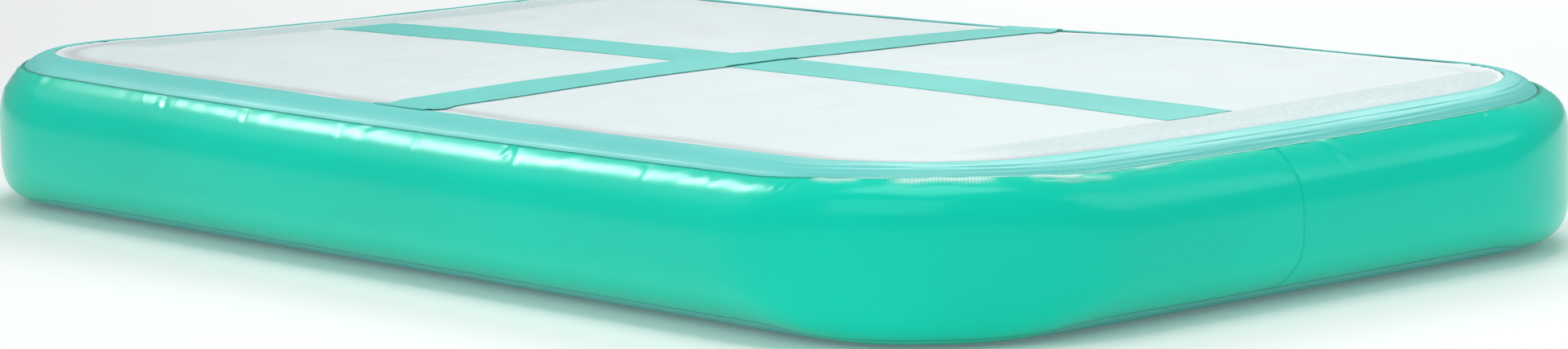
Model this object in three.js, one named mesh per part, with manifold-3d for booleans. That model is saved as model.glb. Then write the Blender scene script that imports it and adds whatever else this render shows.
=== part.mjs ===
// An inflatable air track mat: a drop-stitch air chamber with welded side walls, edge bands,
// two guide stripes and a push valve in one short side.
// Millimetres, +Z up, +X along the long sides. The origin is the centre of the resting face.
import * as THREE from "three";
import { mergeVertices } from "three/addons/utils/BufferGeometryUtils.js";
import Module from "manifold-3d";

const wasm = await Module();
wasm.setup();

// Driving dimensions of the mat
const LENGTH = 1000;
const WIDTH = 600;
const CORNER_RADIUS = 160; // of the outermost line, at mid height
const EDGE_HEIGHT = 94.5; // the top face where the edge band begins
const CROWN = 3.7; // how much higher the top face is in its middle
const FACE_THICKNESS = 1.5;
const WALL_THICKNESS = 1;
const TAPE_THICKNESS = 0.9;
const STRIPE_THICKNESS = 0.6;
const GAP = 0.3; // the glue line between two layers

// Edge profile, as insets from the outermost line and heights above the floor
const BAND_INSET = 43.5; // inner border of the edge bands
const SEAM_INSET = 20.5; // where the bands end and the side wall bulges out
const SEAM_DROP = 8.5; // the upper seam, below the top face's edge
const LOWER_SEAM_HEIGHT = 7.5;
const BOTTOM_LIFT = 1.6; // the lower band's border, above the floor
const BOTTOM_FLAT_INSET = 56; // the bottom face is flat from here inwards
const SHOULDER_POWER = 2.2;
const SHOULDER_STEP = (BAND_INSET - SEAM_INSET) / 4;
const FACE_END_INSET = BAND_INSET - 2 * SHOULDER_STEP; // the faces' turned edges end under the bands
const WALL_END_INSET = SEAM_INSET + SHOULDER_STEP; // so do the edges of the outer side wall
const LINER_DEPTH = 3.1; // the inner side wall, below the outer surface
const LINER_END_INSET = 57;

// The outer side wall's lap joint in the +X side
const LAP_MIDDLE_Y = -5;
const LAP_LENGTH = 30;
const LAP_DEPTH = WALL_THICKNESS + GAP;
const LAP_RAMP = 14;

// Guide stripes on the top face
const STRIPE_WIDTH = 51;
const LONG_STRIPE_LENGTH = 806;
const CROSS_STRIPE_LENGTH = WIDTH - 2 * BAND_INSET - 1.6;
const STRIPE_RAMP = 5; // where the cross stripe climbs over the long one

// Drop yarns
const YARN_ROWS = 9;
const YARN_ROW_PITCH = 55;
const YARN_HALF_LENGTH = 392;
const YARN_PERIODS = 8;
const YARN_THICKNESS = 1.2;
const YARN_BUNDLE_WIDTH = 3;
const YARN_LOOP = 8; // how far a yarn runs along a face before it turns back

// Valve, in its own frame: distances along its axis are outwards from the wall's flat seat
const SEAT_DEPTH = 12; // the wall is pressed flat this far inside the outermost line
const SEAT_RADIUS = 38;
const SEAT_BLEND_RADIUS = 84;
const VALVE_HOLE_RADIUS = 17.6;
const BARREL_RADIUS = 17;
const BORE_RADIUS = 14.5;
const BARREL_END = -24;
const LIP_RADIUS = 11.5;
const LIP_THICKNESS = 2;
const FLANGE_RADIUS = 26;
const FLANGE_BOTTOM = 2.5;
const FLANGE_TOP = 5;
const NECK_RADIUS = 19.6;
const MOUTH = 7;
const HUB_TOP = -15;
const HUB_BOTTOM = -18;
const HUB_RADIUS = 4.6;
const HUB_BORE = 2.6;
const STEM_RADIUS = 2.3;
const BUTTON_RADIUS = 6.5;
const BUTTON_TOP = -2.5;
const BUTTON_BOTTOM = -5;
const CAP_RADIUS = 21.5;
const CAP_BOTTOM = 8.5;
const CAP_TOP = 10.9;
const PLUG_RADIUS = 13.8;
const PLUG_END = 4.1;
const STRAP_WIDTH = 9;
const STRAP_THICKNESS = 1.2;
const STRAP_OUTSIDE = 29.9; // the strap's outer face, from the valve's axis
const STRAP_TOP = 10.2;
const HINGE_SIDE_END = 6; // the strap's free end beside the living hinge

const LOWER_SEAM_TO_UPPER = EDGE_HEIGHT - SEAM_DROP - LOWER_SEAM_HEIGHT;
const WALL_MIDDLE = LOWER_SEAM_HEIGHT + LOWER_SEAM_TO_UPPER / 2;
const VALVE_HEIGHT = WALL_MIDDLE;
const HALF_LENGTH = LENGTH / 2;
const HALF_WIDTH = WIDTH / 2;

const mat = new THREE.Group();

function material(color, roughness, metalness = 0) {
  return new THREE.MeshStandardMaterial({ color, roughness, metalness });
}

const materials = {
  topFace: () => material(0xdde7e6, 0.6),
  bottomFace: () => material(0x8fcfc4, 0.6),
  band: () => material(0x6fd6c6, 0.55),
  wall: () => material(0x1fcbb0, 0.2),
  liner: () => material(0xb9c9c6, 0.7),
  stripe: () => material(0x7fdccf, 0.5),
  yarn: () => material(0xf2f2ee, 0.9),
  valvePlastic: () => material(0x5f6a6e, 0.4),
  innerPlastic: () => material(0x2c3033, 0.5),
  rubber: () => material(0x1a1b1c, 0.8),
  steel: () => material(0xb4b8bb, 0.3, 1),
};

function add(parent, name, geometry, finish) {
  const mesh = new THREE.Mesh(geometry, finish);
  mesh.name = name;
  parent.add(mesh);
  return mesh;
}

// ---- Solids from points ----

function signedVolume(points, triangles) {
  const crossed = new THREE.Vector3();
  let sum = 0;
  for (const [a, b, c] of triangles) {
    sum += points[a].dot(crossed.crossVectors(points[b], points[c]));
  }
  return sum / 6;
}

// A geometry whose faces point out, from points and triangles of a closed surface.
function closedGeometry(points, triangles) {
  const outward = signedVolume(points, triangles) > 0;
  const faces = outward ? triangles : triangles.map(([a, b, c]) => [a, c, b]);
  const geometry = new THREE.BufferGeometry().setFromPoints(points);
  geometry.setIndex(faces.flat());
  return geometry;
}

function manifoldFrom(geometry) {
  const bare = new THREE.BufferGeometry();
  bare.setAttribute("position", geometry.getAttribute("position"));
  if (geometry.index) bare.setIndex(geometry.index);
  const merged = mergeVertices(bare, 1e-4);
  const corners = merged.index.array;
  const kept = [];
  for (let i = 0; i < corners.length; i += 3) {
    const [a, b, c] = corners.slice(i, i + 3);
    if (a !== b && b !== c && c !== a) kept.push(a, b, c);
  }
  return new wasm.Manifold(
    new wasm.Mesh({
      numProp: 3,
      vertProperties: merged.attributes.position.array,
      triVerts: new Uint32Array(kept),
    }),
  );
}

function geometryFrom(solid) {
  const { vertProperties, triVerts } = solid.getMesh();
  const geometry = new THREE.BufferGeometry();
  geometry.setAttribute("position", new THREE.BufferAttribute(vertProperties, 3));
  geometry.setIndex(new THREE.BufferAttribute(triVerts, 1));
  return geometry;
}

function joined(...geometries) {
  const solids = geometries.map(manifoldFrom);
  return geometryFrom(solids.reduce((whole, next) => whole.add(next)));
}

function cut(geometry, tool) {
  return geometryFrom(manifoldFrom(geometry).subtract(manifoldFrom(tool)));
}

// A ring of revolution about +Y, from the corners [radius, height] of its section.
function turned(corners, segments) {
  const closesOnItself = corners.every(([radius]) => radius > 0);
  const loop = closesOnItself ? [...corners, corners[0]] : corners;
  const profile = loop.map(([radius, height]) => new THREE.Vector2(radius, height));
  const lathe = new THREE.LatheGeometry(profile, segments);
  const solid = manifoldFrom(lathe);
  if (solid.volume() > 0) return geometryFrom(solid);
  lathe.index.array.reverse();
  return geometryFrom(manifoldFrom(lathe));
}

function washer(inner, outer, bottom, top, segments) {
  const corners = [[inner, bottom], [outer, bottom], [outer, top], [inner, top]];
  return turned(corners, segments);
}

function block(width, depth, height, x, y, z) {
  return new THREE.BoxGeometry(width, depth, height).translate(x, y, z);
}

// ---- The outline: stations on the outermost line, each with its inward direction ----

function cornerStations(cornerX, cornerY, firstAngle, segments) {
  const found = [];
  for (let i = 0; i <= segments; i++) {
    const angle = firstAngle + ((Math.PI / 2) * i) / segments;
    const outX = Math.cos(angle);
    const outY = Math.sin(angle);
    found.push({
      x: cornerX + CORNER_RADIUS * outX,
      y: cornerY + CORNER_RADIUS * outY,
      inX: -outX,
      inY: -outY,
    });
  }
  return found;
}

function stationsBetween(from, to, shares) {
  return shares.map((share) => ({
    x: from.x + (to.x - from.x) * share,
    y: from.y + (to.y - from.y) * share,
    inX: from.inX,
    inY: from.inY,
  }));
}

function evenShares(pieces) {
  return Array.from({ length: pieces - 1 }, (_, i) => (i + 1) / pieces);
}

// Counter-clockwise from the start of the corner at +X, +Y.
function outline(cornerSegments, longShares, rightShares, leftShares) {
  const cornerX = HALF_LENGTH - CORNER_RADIUS;
  const cornerY = HALF_WIDTH - CORNER_RADIUS;
  const signs = [[1, 1], [-1, 1], [-1, -1], [1, -1]];
  const corners = signs.map(([signX, signY], i) =>
    cornerStations(signX * cornerX, signY * cornerY, (i * Math.PI) / 2, cornerSegments),
  );
  const sideShares = [longShares, leftShares, longShares, rightShares];
  return corners.flatMap((corner, i) => {
    const next = corners[(i + 1) % corners.length];
    return [...corner, ...stationsBetween(corner.at(-1), next[0], sideShares[i])];
  });
}

function placed(station, inset, height) {
  return new THREE.Vector3(station.x + inset * station.inX, station.y + inset * station.inY, height);
}

// ---- Heights of the faces ----

function shoulderShare(inset) {
  const along = (inset - SEAM_INSET) / (BAND_INSET - SEAM_INSET);
  return (1 - Math.min(1, Math.max(0, along))) ** SHOULDER_POWER;
}

function topEdgeHeight(inset) {
  return EDGE_HEIGHT - SEAM_DROP * shoulderShare(inset);
}

function bottomEdgeHeight(inset) {
  if (inset <= BAND_INSET) {
    return BOTTOM_LIFT + (LOWER_SEAM_HEIGHT - BOTTOM_LIFT) * shoulderShare(inset);
  }
  const left = (BOTTOM_FLAT_INSET - inset) / (BOTTOM_FLAT_INSET - BAND_INSET);
  return BOTTOM_LIFT * Math.max(0, left);
}

function crown(x, y) {
  const alongX = x / (HALF_LENGTH - BAND_INSET);
  const alongY = y / (HALF_WIDTH - BAND_INSET);
  return CROWN * Math.max(0, 1 - alongX * alongX) * Math.max(0, 1 - alongY * alongY);
}

function topHeight(x, y) {
  return EDGE_HEIGHT + crown(x, y);
}

// ---- Layers that follow the edge profile ----

function wallArc(segments) {
  const halfChord = LOWER_SEAM_TO_UPPER / 2;
  const radius = (halfChord ** 2 + SEAM_INSET ** 2) / (2 * SEAM_INSET);
  const halfAngle = Math.asin(halfChord / radius);
  const found = [];
  for (let i = 1; i < segments; i++) {
    const angle = halfAngle * (1 - (2 * i) / segments);
    found.push([radius * (1 - Math.cos(angle)), WALL_MIDDLE + radius * Math.sin(angle)]);
  }
  return found;
}

function topShoulder(insets) {
  return insets.map((inset) => [inset, topEdgeHeight(inset)]);
}

function bottomShoulder(insets) {
  return insets.map((inset) => [inset, bottomEdgeHeight(inset)]);
}

// The points of a profile with the direction that goes into the mat, from the top down.
function withInwardNormals(profile) {
  return profile.map(([inset, height], i) => {
    const before = profile[Math.max(0, i - 1)];
    const after = profile[Math.min(profile.length - 1, i + 1)];
    const along = new THREE.Vector2(after[0] - before[0], after[1] - before[1]).normalize();
    return { inset, height, inInset: -along.y, inHeight: along.x };
  });
}

// How far the wall is pressed in by the valve's flanges, at a place on the outer surface.
function pressedIn(station, inset, height) {
  if (station.inX < 0.999) return 0;
  const distance = Math.hypot(station.y, height - VALVE_HEIGHT);
  const share = (distance - SEAT_RADIUS) / (SEAT_BLEND_RADIUS - SEAT_RADIUS);
  const hold = 1 - THREE.MathUtils.smoothstep(share, 0, 1);
  return Math.max(0, SEAT_DEPTH * hold - inset);
}

// The closed section of a layer between two depths under a profile, at one station.
function layerSection(station, profile, upper, lower, extraDepth = 0) {
  const side = (depth) =>
    profile.map(({ inset, height, inInset, inHeight }) =>
      placed(
        station,
        inset + inInset * (depth + extraDepth) + pressedIn(station, inset, height),
        height + inHeight * (depth + extraDepth),
      ),
    );
  return [...side(upper), ...side(lower).reverse()];
}

// Joins sections that all have the same number of points. A closed run ends where it began.
function loft(sections, closed) {
  const count = sections[0].length;
  const points = sections.flat();
  const triangles = [];
  const runs = closed ? sections.length : sections.length - 1;
  for (let i = 0; i < runs; i++) {
    const here = i * count;
    const there = ((i + 1) % sections.length) * count;
    for (let j = 0; j < count; j++) {
      const next = (j + 1) % count;
      triangles.push([here + j, there + j, there + next], [here + j, there + next, here + next]);
    }
  }
  if (!closed) {
    const half = count / 2;
    const last = (sections.length - 1) * count;
    for (let j = 0; j < half - 1; j++) {
      const across = count - 1 - j;
      triangles.push([j, j + 1, across - 1], [j, across - 1, across]);
      triangles.push([last + j, last + across - 1, last + j + 1]);
      triangles.push([last + j, last + across, last + across - 1]);
    }
  }
  return closedGeometry(points, triangles);
}

function ringLayer(stations, profile, upper, lower) {
  const points = withInwardNormals(profile);
  return loft(stations.map((station) => layerSection(station, points, upper, lower)), true);
}

const CORNER_SEGMENTS = 6;
const bandInsets = [0, 1, 2, 3, 4].map((step) => BAND_INSET - step * SHOULDER_STEP);
const sideLength = WIDTH - 2 * CORNER_RADIUS;
const pressedShares = [-84, -62, -46, -31, 31, 46, 62, 84].map((y) => 0.5 + y / sideLength);
const valveHole = new THREE.CylinderGeometry(VALVE_HOLE_RADIUS, VALVE_HOLE_RADIUS, 60, 32)
  .rotateZ(Math.PI / 2)
  .translate(-HALF_LENGTH, 0, VALVE_HEIGHT);

// One strip right round the mat. Its second end passes under its first in the +X side.
function outerSideWall() {
  const profile = withInwardNormals([
    ...topShoulder([WALL_END_INSET, SEAM_INSET]),
    ...wallArc(8),
    ...bottomShoulder([SEAM_INSET, WALL_END_INSET]),
  ]);
  const around = outline(CORNER_SEGMENTS, [], [], pressedShares);
  const lapStart = LAP_MIDDLE_Y - LAP_LENGTH / 2;
  const lapEnd = LAP_MIDDLE_Y + LAP_LENGTH / 2;
  const onRight = (y) => ({ x: HALF_LENGTH, y, inX: -1, inY: 0 });
  const sections = [lapStart, ...around, lapStart - LAP_RAMP, lapStart - GAP, lapEnd].map((place) => {
    const isPlainPlace = typeof place === "number";
    const station = isPlainPlace ? onRight(place) : place;
    return { station, depth: 0 };
  });
  sections.at(-2).depth = LAP_DEPTH;
  sections.at(-1).depth = LAP_DEPTH;
  const shell = sections.map(({ station, depth }) =>
    layerSection(station, profile, 0, WALL_THICKNESS, depth),
  );
  return cut(loft(shell, false), valveHole);
}

// The gas-tight strip behind the outer one. Its edges lap onto the insides of both faces.
function innerSideWall() {
  const profile = [
    ...topShoulder([LINER_END_INSET, BAND_INSET, SEAM_INSET]),
    ...wallArc(8),
    ...bottomShoulder([SEAM_INSET, BAND_INSET, LINER_END_INSET]),
  ];
  const around = outline(CORNER_SEGMENTS, [], [], pressedShares);
  const ring = ringLayer(around, profile, LINER_DEPTH, LINER_DEPTH + WALL_THICKNESS);
  return cut(ring, valveHole);
}

function edgeBand(shoulder, upDown) {
  const profile = shoulder(upDown > 0 ? bandInsets : bandInsets.toReversed());
  return ringLayer(outline(CORNER_SEGMENTS, [], [], []), profile, -GAP - TAPE_THICKNESS, -GAP);
}

// ---- The two faces of the drop-stitch cloth ----

const SPINE_HALF = 200;

// The outline drawn in towards a spine along X, by a share of the way out from it.
function faceRing(stations, inset, share) {
  return stations.map((station) => {
    const point = placed(station, inset, 0);
    const spineX = THREE.MathUtils.clamp(point.x, -SPINE_HALF, SPINE_HALF);
    return new THREE.Vector2(spineX + (point.x - spineX) * share, point.y * share);
  });
}

// The triangles that close the innermost ring, between mirrored stations at +Y and -Y.
function middleStrip(count, endStations) {
  const start = count - endStations / 2;
  const found = [];
  for (let k = 0; k < count / 2 - 1; k++) {
    const a = (start + k) % count;
    const b = start - 1 - k;
    found.push([a, (a + 1) % count, b - 1], [a, b - 1, b]);
  }
  return found;
}

// A cloth with its edge turned over, then a field of rings that shrink towards the spine.
function faceCloth({ stations, endStations, edgeInsets, edgeHeight, fieldShares, thickness }) {
  const edge = edgeInsets.map((inset) =>
    faceRing(stations, inset, 1).map(({ x, y }) => new THREE.Vector3(x, y, edgeHeight(inset))),
  );
  const field = fieldShares.map((share) =>
    faceRing(stations, edgeInsets.at(-1), share).map(({ x, y }) => new THREE.Vector3(x, y, topHeight(x, y))),
  );
  const outside = [...edge, ...field];
  const inside = outside.map((ring) =>
    ring.map((point) => point.clone().setZ(point.z + thickness)),
  );
  const count = stations.length;
  const rings = [...outside, ...inside.reverse()];
  const points = rings.flat();
  const triangles = [];
  for (let i = 0; i < rings.length; i++) {
    if (i === outside.length - 1) continue; // the two middles are capped below
    const here = i * count;
    const there = ((i + 1) % rings.length) * count;
    for (let j = 0; j < count; j++) {
      const next = (j + 1) % count;
      triangles.push([here + j, there + j, there + next], [here + j, there + next, here + next]);
    }
  }
  const first = (outside.length - 1) * count;
  for (const [a, b, c] of middleStrip(count, endStations)) {
    triangles.push([first + a, first + c, first + b]);
    triangles.push([first + count + a, first + count + b, first + count + c]);
  }
  return closedGeometry(points, triangles);
}

function topFace() {
  const endShares = evenShares(3);
  return faceCloth({
    stations: outline(CORNER_SEGMENTS, evenShares(6), endShares, endShares),
    endStations: endShares.length,
    edgeInsets: [FACE_END_INSET, FACE_END_INSET + SHOULDER_STEP, BAND_INSET],
    edgeHeight: topEdgeHeight,
    fieldShares: [0.75, 0.5, 0.25, 0.08],
    thickness: -FACE_THICKNESS,
  });
}

function bottomFace() {
  return faceCloth({
    stations: outline(CORNER_SEGMENTS, [], [], []),
    endStations: 0,
    edgeInsets: [FACE_END_INSET, FACE_END_INSET + SHOULDER_STEP, BAND_INSET, BOTTOM_FLAT_INSET],
    edgeHeight: bottomEdgeHeight,
    fieldShares: [],
    thickness: FACE_THICKNESS,
  });
}

// ---- Guide stripes: thin plates that follow the crowned top face ----

function stripePlate(xs, ys, liftAt) {
  const level = (thickness) =>
    xs.flatMap((x) =>
      ys.map((y) => new THREE.Vector3(x, y, topHeight(x, y) + liftAt(x, y) + thickness)),
    );
  const points = [...level(0), ...level(STRIPE_THICKNESS)];
  const rows = ys.length;
  const above = xs.length * rows;
  const triangles = [];
  for (let i = 0; i < xs.length - 1; i++) {
    for (let j = 0; j < rows - 1; j++) {
      const a = i * rows + j;
      const [b, c, d] = [a + rows, a + rows + 1, a + 1];
      triangles.push([a, c, b], [a, d, c]);
      triangles.push([above + a, above + b, above + c], [above + a, above + c, above + d]);
    }
  }
  const rim = [
    ...xs.map((_, i) => i * rows),
    ...ys.slice(1).map((_, j) => (xs.length - 1) * rows + j + 1),
    ...xs.slice(1).map((_, i) => (xs.length - 2 - i) * rows + rows - 1),
    ...ys.slice(2).map((_, j) => rows - 2 - j),
  ];
  rim.forEach((a, i) => {
    const b = rim[(i + 1) % rim.length];
    triangles.push([a, b, above + b], [a, above + b, above + a]);
  });
  return closedGeometry(points, triangles);
}

function spaced(half, pieces) {
  return Array.from({ length: pieces + 1 }, (_, i) => -half + (2 * half * i) / pieces);
}

function longStripe() {
  const across = spaced(STRIPE_WIDTH / 2, 1);
  return stripePlate(spaced(LONG_STRIPE_LENGTH / 2, 12), across, () => GAP);
}

function crossStripe() {
  const half = CROSS_STRIPE_LENGTH / 2;
  const over = STRIPE_WIDTH / 2 + 1;
  const ramp = over + STRIPE_RAMP;
  const ys = [-half, -200, -130, -75, -ramp, -over, over, ramp, 75, 130, 200, half];
  const liftAt = (_, y) => (Math.abs(y) <= over ? 2 * GAP + STRIPE_THICKNESS : GAP);
  return stripePlate(spaced(STRIPE_WIDTH / 2, 1), ys, liftAt);
}

// ---- Drop yarns: one zigzag bundle per row, from face to face ----

function yarnRoute(rowY) {
  const low = FACE_THICKNESS + GAP + YARN_THICKNESS / 2;
  const high = (x) => topHeight(x, rowY) - low;
  const period = (2 * YARN_HALF_LENGTH) / YARN_PERIODS;
  const route = [];
  for (let i = 0; i < YARN_PERIODS; i++) {
    const x = -YARN_HALF_LENGTH + i * period;
    const top = x + period / 2;
    route.push([x, low], [x + YARN_LOOP, low]);
    route.push([top, high(top)], [top + YARN_LOOP, high(top + YARN_LOOP)]);
  }
  route.push([YARN_HALF_LENGTH, low], [YARN_HALF_LENGTH + YARN_LOOP, low]);
  return route.map(([x, z]) => new THREE.Vector2(x, z));
}

// The outline of a ribbon of even thickness along a route.
function ribbon(route, thickness) {
  const side = (sign) =>
    route.map((point, i) => {
      const before = route[Math.max(0, i - 1)];
      const after = route[Math.min(route.length - 1, i + 1)];
      const into = point.clone().sub(before).normalize();
      const outOf = after.clone().sub(point).normalize();
      const along = into.add(outOf).normalize();
      const reach = (sign * thickness) / 2;
      return new THREE.Vector2(point.x - along.y * reach, point.y + along.x * reach);
    });
  return new THREE.Shape([...side(-1), ...side(1).reverse()]);
}

function yarnRow(rowY) {
  const shape = ribbon(yarnRoute(rowY), YARN_THICKNESS);
  const bundle = { depth: YARN_BUNDLE_WIDTH, bevelEnabled: false };
  return new THREE.ExtrudeGeometry(shape, bundle)
    .rotateX(Math.PI / 2)
    .translate(0, YARN_BUNDLE_WIDTH / 2, 0);
}

// ---- Valve, turned about +Y of its own frame ----

const VALVE_SEGMENTS = 32;
const SMALL_SEGMENTS = 16;

function valveHousing() {
  const barrel = turned(
    [
      [LIP_RADIUS, BARREL_END],
      [BARREL_RADIUS, BARREL_END],
      [BARREL_RADIUS, FLANGE_BOTTOM],
      [FLANGE_RADIUS, FLANGE_BOTTOM],
      [FLANGE_RADIUS, FLANGE_TOP - 0.8],
      [FLANGE_RADIUS - 0.8, FLANGE_TOP],
      [NECK_RADIUS, FLANGE_TOP],
      [NECK_RADIUS, MOUTH],
      [BORE_RADIUS, MOUTH],
      [BORE_RADIUS, BARREL_END + LIP_THICKNESS],
      [LIP_RADIUS, BARREL_END + LIP_THICKNESS],
    ],
    VALVE_SEGMENTS,
  );
  const thickness = HUB_TOP - HUB_BOTTOM;
  const middle = (HUB_TOP + HUB_BOTTOM) / 2;
  const rod = (radius, length) =>
    new THREE.CylinderGeometry(radius, radius, length, SMALL_SEGMENTS).translate(0, middle, 0);
  const hub = rod(HUB_RADIUS, thickness);
  const spokeReach = BORE_RADIUS + 1;
  const spokes = [0, 1, 2].map((i) =>
    block(spokeReach, thickness, 2.6, spokeReach / 2, middle, 0).rotateY((i * 2 * Math.PI) / 3),
  );
  const guideBore = rod(HUB_BORE, 2 * thickness);
  return joined(barrel, cut(joined(hub, ...spokes), guideBore));
}

// The nut inside the chamber that clamps both walls against the housing's flange.
function baseNut() {
  const inside = -LINER_DEPTH - WALL_THICKNESS - GAP;
  const inner = BARREL_RADIUS + 0.35;
  return turned(
    [
      [inner, -16],
      [inner + 3.2, -16],
      [inner + 3.2, inside - 2.5],
      [27, inside - 2.5],
      [27, inside],
      [inner, inside],
    ],
    VALVE_SEGMENTS,
  );
}

function valveStem() {
  const knob = BARREL_END - 5.4;
  const body = turned(
    [
      [0, knob - 1.8],
      [4.4, knob - 1.8],
      [4.4, knob],
      [STEM_RADIUS, knob],
      [STEM_RADIUS, BUTTON_BOTTOM],
      [BUTTON_RADIUS, BUTTON_BOTTOM],
      [BUTTON_RADIUS, BUTTON_TOP],
      [0, BUTTON_TOP],
    ],
    SMALL_SEGMENTS,
  );
  const grip = block(10, 1.6, 1.8, 0, BUTTON_TOP + 0.1, 0);
  return joined(body, grip);
}

class Helix extends THREE.Curve {
  constructor(radius, bottom, top, turns) {
    super();
    Object.assign(this, { radius, bottom, top, turns });
  }

  getPoint(share, target = new THREE.Vector3()) {
    const angle = share * this.turns * 2 * Math.PI;
    const height = this.bottom + (this.top - this.bottom) * share;
    return target.set(this.radius * Math.cos(angle), height, this.radius * Math.sin(angle));
  }
}

function valveSpring() {
  const wire = 0.4;
  const route = new Helix(4.2, HUB_TOP + 2 * wire, BUTTON_BOTTOM - 2 * wire, 4);
  const section = new THREE.Shape();
  section.absarc(0, 0, wire, 0, 2 * Math.PI);
  return new THREE.ExtrudeGeometry(section, { extrudePath: route, steps: 40, curveSegments: 4 });
}

function capTetherRing() {
  const bottom = FLANGE_TOP + 0.35;
  const top = bottom + 1.35;
  const inner = NECK_RADIUS + 0.5;
  const ring = washer(inner, inner + 3.5, bottom, top, VALVE_SEGMENTS);
  const tabFrom = inner + 2;
  const tabTo = 26.5;
  const tab = block(STRAP_WIDTH, top - bottom, tabTo - tabFrom, 0, (bottom + top) / 2, (tabFrom + tabTo) / 2);
  return joined(ring, tab);
}

// The cap, its strap up to the living hinge, and a pull tab opposite.
function valveCap() {
  const disc = turned(
    [
      [0, PLUG_END],
      [PLUG_RADIUS - 0.8, PLUG_END],
      [PLUG_RADIUS, PLUG_END + 0.8],
      [PLUG_RADIUS, CAP_BOTTOM],
      [CAP_RADIUS, CAP_BOTTOM],
      [CAP_RADIUS, CAP_TOP - 0.8],
      [CAP_RADIUS - 0.8, CAP_TOP],
      [0, CAP_TOP],
    ],
    VALVE_SEGMENTS,
  );
  const strapFrom = CAP_RADIUS - 3;
  const strap = block(
    STRAP_WIDTH,
    STRAP_THICKNESS,
    STRAP_OUTSIDE - strapFrom,
    0,
    STRAP_TOP - STRAP_THICKNESS / 2,
    (STRAP_OUTSIDE + strapFrom) / 2,
  );
  const leg = block(
    STRAP_WIDTH,
    STRAP_TOP - HINGE_SIDE_END,
    STRAP_THICKNESS,
    0,
    (STRAP_TOP + HINGE_SIDE_END) / 2,
    STRAP_OUTSIDE - STRAP_THICKNESS / 2,
  );
  const tabLength = 6;
  const pullTab = block(11, 1.4, tabLength, 0, CAP_TOP - 1, -CAP_RADIUS - tabLength / 2 + 3);
  return joined(disc, strap, leg, pullTab);
}

// ---- Assembly ----

add(mat, "top_face_cloth", topFace(), materials.topFace());
add(mat, "bottom_face_cloth", bottomFace(), materials.bottomFace());
add(mat, "outer_side_wall", outerSideWall(), materials.wall());
add(mat, "inner_side_wall", innerSideWall(), materials.liner());
add(mat, "top_edge_band", edgeBand(topShoulder, 1), materials.band());
add(mat, "bottom_edge_band", edgeBand(bottomShoulder, -1), materials.band());
add(mat, "long_stripe", longStripe(), materials.stripe());
add(mat, "cross_stripe", crossStripe(), materials.stripe());

for (let row = 0; row < YARN_ROWS; row++) {
  const y = (row - (YARN_ROWS - 1) / 2) * YARN_ROW_PITCH;
  add(mat, `drop_yarn_row_${row + 1}`, yarnRow(y), materials.yarn()).position.y = y;
}

const valve = new THREE.Group();
valve.position.set(-HALF_LENGTH + SEAT_DEPTH, 0, VALVE_HEIGHT);
valve.rotation.z = Math.PI / 2; // +Y of the valve points out of the mat
mat.add(valve);

add(valve, "valve_patch", washer(18, 29.6, 0.3, 0.9, VALVE_SEGMENTS), materials.wall());
add(valve, "valve_gasket", washer(18, 25.5, 1.2, 2.2, VALVE_SEGMENTS), materials.rubber());
add(valve, "valve_housing", valveHousing(), materials.valvePlastic());
add(valve, "valve_base_nut", baseNut(), materials.innerPlastic());
add(valve, "valve_seal", washer(2.7, 13.4, BARREL_END - 2.9, BARREL_END - 0.3, 24), materials.rubber());
add(valve, "seal_carrier", washer(2.7, 10, BARREL_END - 5.1, BARREL_END - 3.2, 24), materials.innerPlastic());
add(valve, "valve_stem", valveStem(), materials.innerPlastic());
add(valve, "valve_spring", valveSpring(), materials.steel());
add(valve, "cap_tether_ring", capTetherRing(), materials.valvePlastic());
add(valve, "valve_cap", valveCap(), materials.valvePlastic());
add(valve, "cap_seal", washer(15.2, 19.2, MOUTH + 0.3, MOUTH + 1.2, 24), materials.rubber());

export default mat;
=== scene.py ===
import math

import bpy
import numpy as np
from mathutils import Matrix, Vector


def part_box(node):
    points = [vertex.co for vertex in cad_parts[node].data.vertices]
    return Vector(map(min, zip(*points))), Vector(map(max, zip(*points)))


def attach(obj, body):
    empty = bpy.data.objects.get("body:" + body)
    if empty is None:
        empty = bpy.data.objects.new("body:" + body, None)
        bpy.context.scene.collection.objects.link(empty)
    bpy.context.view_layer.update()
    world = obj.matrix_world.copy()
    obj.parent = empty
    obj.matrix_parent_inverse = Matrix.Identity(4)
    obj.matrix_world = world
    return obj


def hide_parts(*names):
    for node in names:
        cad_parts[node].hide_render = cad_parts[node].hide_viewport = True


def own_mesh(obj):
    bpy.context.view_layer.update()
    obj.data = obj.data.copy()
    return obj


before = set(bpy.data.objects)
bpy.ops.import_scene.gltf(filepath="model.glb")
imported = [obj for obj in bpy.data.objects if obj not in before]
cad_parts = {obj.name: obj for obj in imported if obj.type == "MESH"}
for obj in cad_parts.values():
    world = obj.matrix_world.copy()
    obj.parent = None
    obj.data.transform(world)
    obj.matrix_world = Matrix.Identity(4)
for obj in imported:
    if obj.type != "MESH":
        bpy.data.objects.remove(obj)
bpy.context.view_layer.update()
MM = 0.001

# ---- The camera, at the photograph's viewing angle ----

IMAGE_WIDTH = 1950
FOCAL = 5661.4  # in pixels of the picture
FILM_WIDTH = 36  # in millimetres, as lens lengths are
YAW, PITCH, ROLL = 0.8701, 0.1366, -0.0275
DISTANCE, SLIDE_RIGHT, SLIDE_UP = 2.8506, 0.0283, 0.0255


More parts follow.
